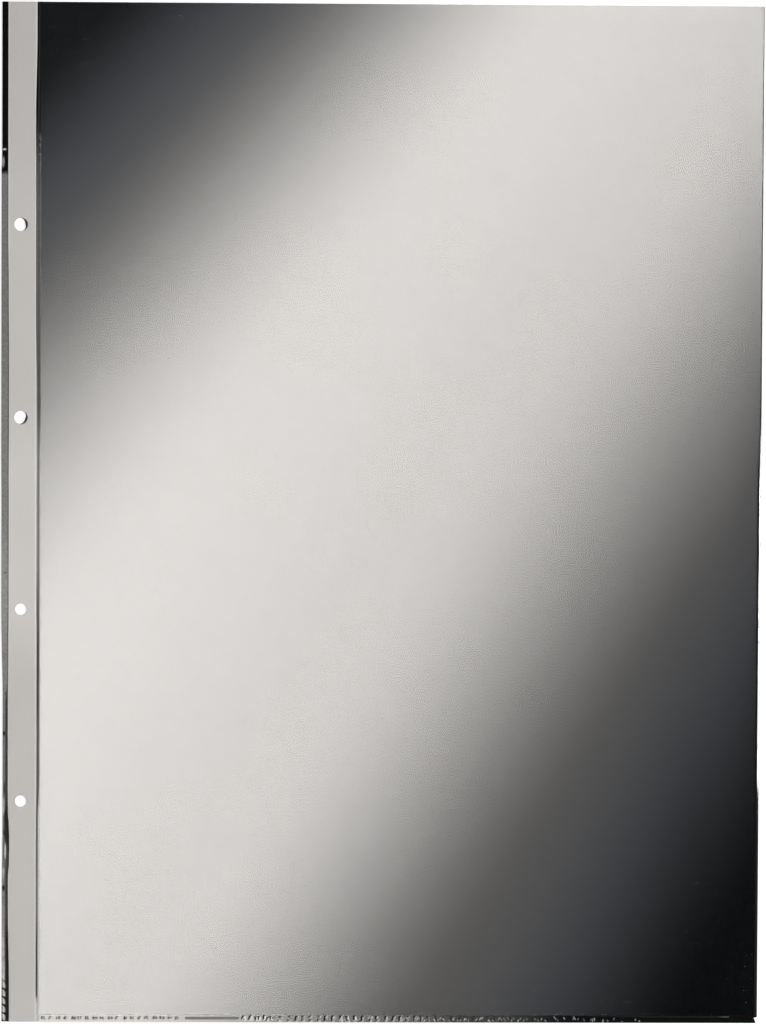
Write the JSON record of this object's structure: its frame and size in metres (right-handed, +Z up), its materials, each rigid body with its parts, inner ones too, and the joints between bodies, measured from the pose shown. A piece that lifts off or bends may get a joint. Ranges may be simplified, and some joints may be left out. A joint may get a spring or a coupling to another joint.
{
  "type": "punched display pocket",
  "caption": "Clear top-loading display pocket for an A3 sheet, with welded edges, a reinforced and punched binding margin that the leaf turns on, and a black backing sheet that slides out.",
  "frame": {"origin": "under the middle of the leaf, on the surface that it lies on", "axes": "+X across the leaf from the punched margin to the folded edge, +Y up the leaf to the open mouth, +Z up out of the front film"},
  "size_m": [0.316, 0.424, 0.0005],
  "materials": {
    "clear_film": "clear gloss film",
    "weld": "fused gloss film",
    "strip": "satin",
    "backing": "matte paper"
  },
  "bodies": {
    "margin": {"margin_back_film": "clear_film", "margin_front_film": "clear_film", "reinforcing_strip": "strip", "outer_weld": "weld", "spine_weld": "weld"},
    "pocket": {"back_film": "clear_film", "front_film": "clear_film", "side_seam": "weld", "folded_edge": "clear_film", "bottom_weld": "weld"},
    "backing": {"backing_sheet": "backing"}
  },
  "joints": [
    {"name": "page_turn", "type": "hinge", "parent": "margin", "child": "pocket", "pos_m": [-0.1429, 0, 0.0001], "axis": [0, -1, 0], "range_deg": [0, 130]},
    {"name": "backing_slide", "type": "slide", "parent": "pocket", "child": "backing", "axis": [0, 1, 0], "range_m": [0, 0.43]}
  ]
}
